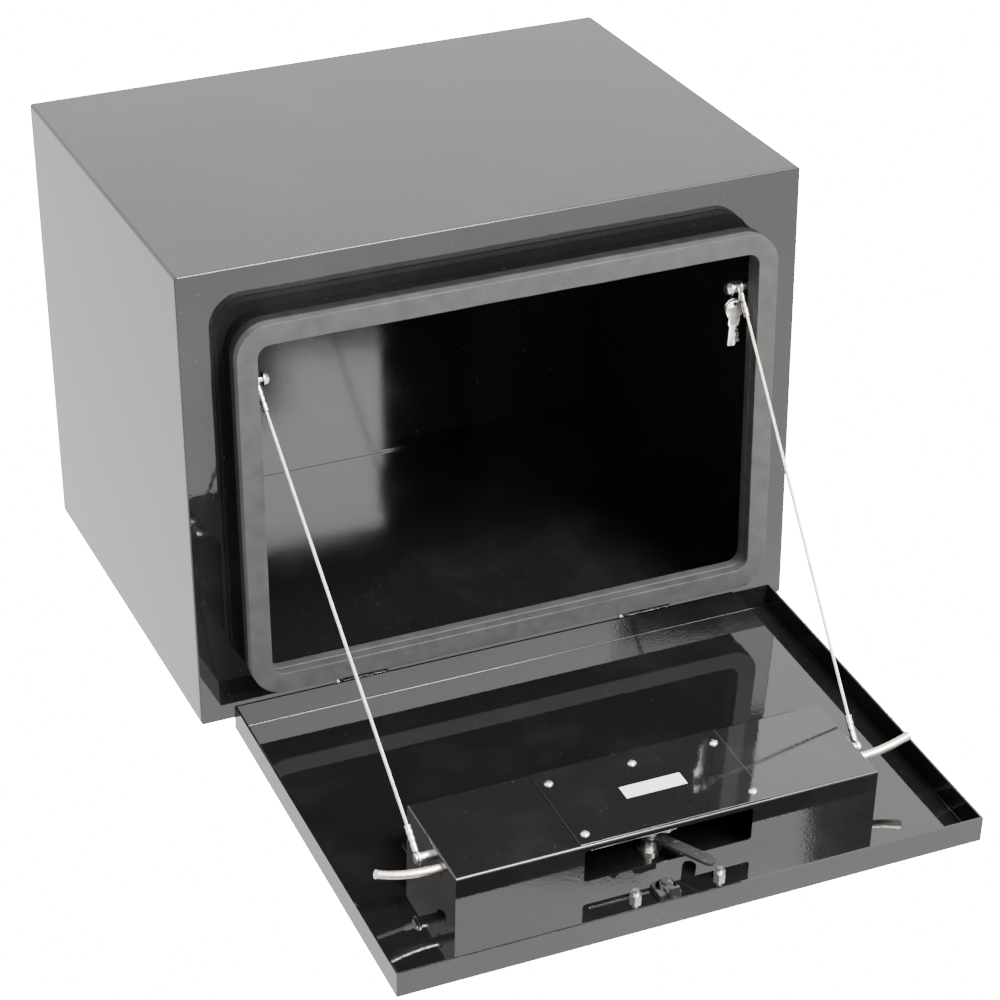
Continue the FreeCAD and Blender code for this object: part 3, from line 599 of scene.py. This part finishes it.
slice_across(bulb, "x", [MID.x + k * PITCH for k in range(-14, 15)])
slice_across(bulb, "z", [MID.z + k * PITCH for k in range(-9, 10)])
wander = bpy.data.textures.new("wander", "CLOUDS")
wander.noise_scale = 0.06
shape_with(bulb, "DISPLACE", texture=wander, texture_coords="LOCAL", strength=0.0016,
           mid_level=0.62)
shape_with(bulb, "SUBSURF", levels=1, render_levels=1)
for ring in (grip, bulb):
    smooth(ring, 50)
    wear(ring, seal_rubber)
    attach(ring, "box")
# The grip's outer faces get the near-black painted-shade rubber.
grip.data.materials.append(grip_painted_shade_rubber)
for face in grip.data.polygons:
    inside = (abs(face.center.x - MID.x) < WIDE / 2 - BAND + 0.003
              and abs(face.center.z - MID.z) < TALL / 2 - BAND + 0.003)
    face.material_index = 0 if inside else 1
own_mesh(bulb)
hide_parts("seal_grip")
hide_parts("seal_bulb")
print("bulb has", len(bulb.data.polygons), "faces")

# %% [markdown]
# ## The stay ropes
# Each rope is 7x7 galvanised wire about three millimetres thick: six strands laid round a core.
# A plain tube would look like a rod, so the strands are modelled as six thin tubes on a helix
# round the straight line from one ferrule to the other.

# %% Twisted ropes
TOP_BOLT = {"left": Vector((-0.23825, -0.2365, 0.350)), "right": Vector((0.2419, -0.2365, 0.350))}
LOW_BOLT = {"left": ON_DOOR @ Vector((-0.211, -0.283, 0.036)),
            "right": ON_DOOR @ Vector((0.217, -0.283, 0.036))}
ROPE_R, STRAND_R, LAY, STEPS_A_LAY = 0.00158, 0.00058, 0.021, 10
FERRULE_END, HELD = 0.0298, 0.004
BEND_START, BEND_END = 0.006, 0.041


def stay_rope(side):
    top, bottom = TOP_BOLT[side], LOW_BOLT[side]
    along = (bottom - top).normalized()
    start, end = top + along * (FERRULE_END - HELD), bottom - along * (FERRULE_END - HELD)
    across = along.cross(Vector((1, 0, 0))).normalized()
    third = along.cross(across)
    length = (end - start).length
    steps = int(length / LAY * STEPS_A_LAY)
    line = bpy.data.curves.new(side + "_rope", "CURVE")
    line.dimensions, line.bevel_depth, line.bevel_resolution = "3D", STRAND_R, 1
    for k in range(7):
        r = 0 if k == 6 else ROPE_R - STRAND_R
        spline = line.splines.new("POLY")
        spline.points.add(steps)
        for i, point in enumerate(spline.points):
            turn = 2 * math.pi * (i / steps * length / LAY + k / 6)
            aside = (across * math.cos(turn) + third * math.sin(turn)) * r
            point.co = (*(start + along * (length * i / steps) + aside), 1)
    rope = bpy.data.objects.new(side + "_stay_rope", line)
    bpy.context.scene.collection.objects.link(rope)
    only(rope)
    bpy.ops.object.convert(target="MESH")
    rope = bpy.context.object
    rope.name = side + "_stay_rope"
    bpy.ops.object.shade_smooth()
    wear(rope, strand)
    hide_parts(side + "_cable_rope")
    start - along * BEND_START
    end - along * BEND_END
    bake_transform(rope)
    print(side, "rope:", round(length, 4), "m,", len(rope.data.polygons), "faces")


for side in ("left", "right"):
    stay_rope(side)

# %% [markdown]
# ## Crimped rope ends
# A ferrule starts as a plain tube and is squeezed in a press, which leaves waists with soft
# shoulders between them. The cylinder is divided into rings, and every other ring is scaled in.
# The eye is a flat ring on the bolt, joined to the ferrule's top. One end is modelled, and each
# of the four is a copy of it, turned to lie along its rope.

# %% Ferrule and eye
FERRULE_R, FERRULE_LONG = 0.0031, 0.024
EYE_R, EYE_THICK, BOLT_HOLE_R = 0.0069, 0.0025, 0.0031


def rope_end():
    """A rope end along -z with its eye round the origin, flat across x."""
    body = start_piece("rope_end", bpy.ops.mesh.primitive_cylinder_add, vertices=24,
                       radius=FERRULE_R, depth=FERRULE_LONG, location=(0, 0, -0.0178))
    for z in [-FERRULE_END + 0.0012 * k for k in range(1, 20)]:
        pick(body, "FACE", lambda c: True)
        bpy.ops.mesh.bisect(plane_co=(0, 0, z), plane_no=(0, 0, 1))
        done()
    for waist in (-0.0262, -0.0202, -0.0142):
        for reach, squeeze in ((0.0019, 0.95), (0.0008, 0.90)):
            pick(body, "VERT", lambda c: abs(c.z - waist) < reach)
            bpy.ops.transform.resize(value=(squeeze, squeeze, 1), center_override=(0, 0, waist))
            done()
    break_edges(body, 0.0004, 60)
    eye = start_piece("eye", bpy.ops.mesh.primitive_cylinder_add, vertices=40, radius=EYE_R,
                      depth=EYE_THICK, rotation=(0, math.pi / 2, 0))
    hole = start_piece("hole", bpy.ops.mesh.primitive_cylinder_add, vertices=32,
                       radius=BOLT_HOLE_R, depth=0.02, rotation=(0, math.pi / 2, 0))
    cut(eye, hole)
    break_edges(eye, 0.0005, 60)
    cut(body, eye, "UNION")
    smooth(body, 40)
    return body


end_master = rope_end()
print("rope end:", len(end_master.data.polygons), "faces")


def hung_from(at, towards):
    """Places a rope end with its eye at one point and its ferrule aimed at another."""
    z = (at - towards).normalized()
    x = Vector((1, 0, 0))
    y = z.cross(x).normalized()
    x = y.cross(z).normalized()
    turn = Matrix((x, y, z)).transposed().to_4x4()
    return Matrix.Translation(at) @ turn


for side in ("left", "right"):
    for level, body, at, towards in (("upper", "box", TOP_BOLT[side], LOW_BOLT[side]),
                                     ("lower", "door", LOW_BOLT[side], TOP_BOLT[side])):
        twin = end_master.copy()
        twin.data = end_master.data.copy()
        twin.data.transform(hung_from(at, towards))
        twin.name = f"{side}_{level}_rope_end"
        bpy.context.scene.collection.objects.link(twin)
        wear(twin, zinc)
        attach(twin, body)
        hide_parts(f"{side}_cable_{level}_end")
bpy.data.objects.remove(end_master)

# %% [markdown]
# ## Access plate screws
# Five round-head screws hold the plate over the latch. A head is a dome, so it starts as a
# sphere, loses its lower part and is flattened. The cross is cut with two crossed blocks. The
# other heads are copies, each turned differently, as hand-driven screws stop.

# %% Cross-head screws
PLATE_TOP, HEAD_R, HEAD_FLAT, CROSS_MIDDLE = 0.0535, 0.0042, 0.60, 0.0021
screw = start_piece("screw", bpy.ops.mesh.primitive_uv_sphere_add, segments=32, ring_count=20,
                    radius=HEAD_R)
pick(screw, "VERT", lambda c: True)
bpy.ops.mesh.bisect(plane_co=(0, 0, 0), plane_no=(0, 0, 1), clear_inner=True, use_fill=True)
bpy.ops.mesh.select_all(action="SELECT")
bpy.ops.transform.resize(value=(1, 1, HEAD_FLAT), center_override=(0, 0, 0))
done()
for turn in (0, math.pi / 2):
    slot_tool = start_piece("slot_tool", bpy.ops.mesh.primitive_cube_add, size=1,
                            location=(0, 0, CROSS_MIDDLE), rotation=(0, 0, turn))
    slot_tool.data.transform(Matrix.Translation((0, 0, CROSS_MIDDLE))
                             @ Matrix.Rotation(turn, 4, "Z")
                             @ Matrix.Diagonal((0.0042, 0.0009, 0.0022, 1))
                             @ Matrix.Rotation(-turn, 4, "Z")
                             @ Matrix.Translation((0, 0, -CROSS_MIDDLE)))
    cut(screw, slot_tool)
smooth(screw, 30)
SCREW_PLACES = [(-0.074, 0.250), (0.007, 0.250), (0.088, 0.250), (0.088, 0.326), (-0.074, 0.326)]
screws = copies(screw, "plate_screws",
                [ON_DOOR @ Matrix.Translation((x, -v, PLATE_TOP))
                 @ Matrix.Rotation(0.7 * k + 0.3, 4, "Z")
                 for k, (x, v) in enumerate(SCREW_PLACES)])
wear(screws, zinc)
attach(screws, "door")
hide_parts("access_plate_screws")
print("screws:", len(screws.data.polygons), "faces")

# %% [markdown]
# ## Keys on a split ring
# A key is stamped from sheet: a round bow, a shoulder and a notched blade with a milled groove.
# The three flat shapes are joined, the hole and notches are cut, and a fine bevel takes the sharp
# edge off, which is what catches the light.

# %% Keys
KEY_AT = Vector((0.2366, -0.2365, 0.33765))
KEY_THICK, BOW_R, KEY_APART = 0.002, 0.0095, 0.0024


def key(name, lean, step_y, cuts):
    blank = start_piece(name, bpy.ops.mesh.primitive_cylinder_add, vertices=48, radius=BOW_R,
                        depth=KEY_THICK, location=(0, 0, -0.0085), rotation=(math.pi / 2, 0, 0))
    for wide, tall, middle in ((0.011, 0.016, -0.0165), (0.008, 0.022, -0.0345)):
        slab = start_piece("slab", bpy.ops.mesh.primitive_cube_add, size=1)
        slab.data.transform(Matrix.Translation((0, 0, middle))
                            @ Matrix.Diagonal((wide, KEY_THICK, tall, 1)))
        cut(blank, slab, "UNION")
    eye = start_piece("eye", bpy.ops.mesh.primitive_cylinder_add, vertices=24, radius=0.0024,
                      depth=0.01, location=(0, 0, -0.0026), rotation=(math.pi / 2, 0, 0))
    cut(blank, eye)
    for k, deep in enumerate(cuts):
        notch = start_piece("notch", bpy.ops.mesh.primitive_cylinder_add, vertices=4,
                            radius=0.0021, depth=0.01,
                            location=(0.0056 - deep, 0, -0.0272 - 0.0036 * k),
                            rotation=(math.pi / 2, 0, 0))
        cut(blank, notch)
    tip = start_piece("tip", bpy.ops.mesh.primitive_cube_add, size=0.008,
                      location=(0.0056, 0, -0.0479), rotation=(0, math.pi / 4, 0))
    cut(blank, tip)
    for y in (-KEY_THICK / 2, KEY_THICK / 2):
        groove = start_piece("groove", bpy.ops.mesh.primitive_cylinder_add, vertices=12,
                             radius=0.0007, depth=0.0215, location=(-0.0012, y, -0.0352))
        cut(blank, groove)
    break_edges(blank, 0.00022, 50)
    smooth(blank, 40)
    blank.data.transform(Matrix.Translation(KEY_AT + Vector((0, step_y, 0)))
                         @ Matrix.Rotation(lean, 4, "Y"))
    wear(blank, nickel)
    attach(blank, "keys")
    return blank


first = key("front_key", math.radians(4), -KEY_APART, (0.0016, 0.0024, 0.0012, 0.0020, 0.0014))
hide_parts("first_key")
second = key("rear_key", math.radians(-5), KEY_APART, (0.0012, 0.0018, 0.0022, 0.0014, 0.0019))
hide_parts("second_key")
print("keys:", len(first.data.polygons), "and", len(second.data.polygons), "faces")

# %% [markdown]
# ## The split ring
# The keys hang on a ring of spring wire wound nearly twice, with a small step where one turn
# passes to the other. A curve with a round bevel follows that winding and is made a mesh.

# %% Split ring
WIRE_R, RING_R, SIDE_STEP = 0.00048, 0.0100, 0.00046
low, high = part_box("key_ring")
centre = (low + high) / 2
wire = bpy.data.curves.new("ring_wire", "CURVE")
wire.dimensions, wire.bevel_depth, wire.bevel_resolution = "3D", WIRE_R, 3
winding = wire.splines.new("POLY")
TURNS, POINTS = 1.9, 110
winding.points.add(POINTS)
for i, point in enumerate(winding.points):
    turn = 2 * math.pi * TURNS * i / POINTS
    step = SIDE_STEP * max(-1.0, min(1.0, (i / POINTS - 0.5) * 9))
    point.co = (centre.x + step, centre.y + RING_R * math.cos(turn),
                centre.z + RING_R * math.sin(turn), 1)
ring = bpy.data.objects.new("split_ring", wire)
bpy.context.scene.collection.objects.link(ring)
only(ring)
bpy.ops.object.convert(target="MESH")
ring = bpy.context.object
bpy.ops.object.shade_smooth()
wear(ring, nickel)
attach(ring, "keys")
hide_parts("key_ring")
print("split ring:", len(ring.data.polygons), "faces")
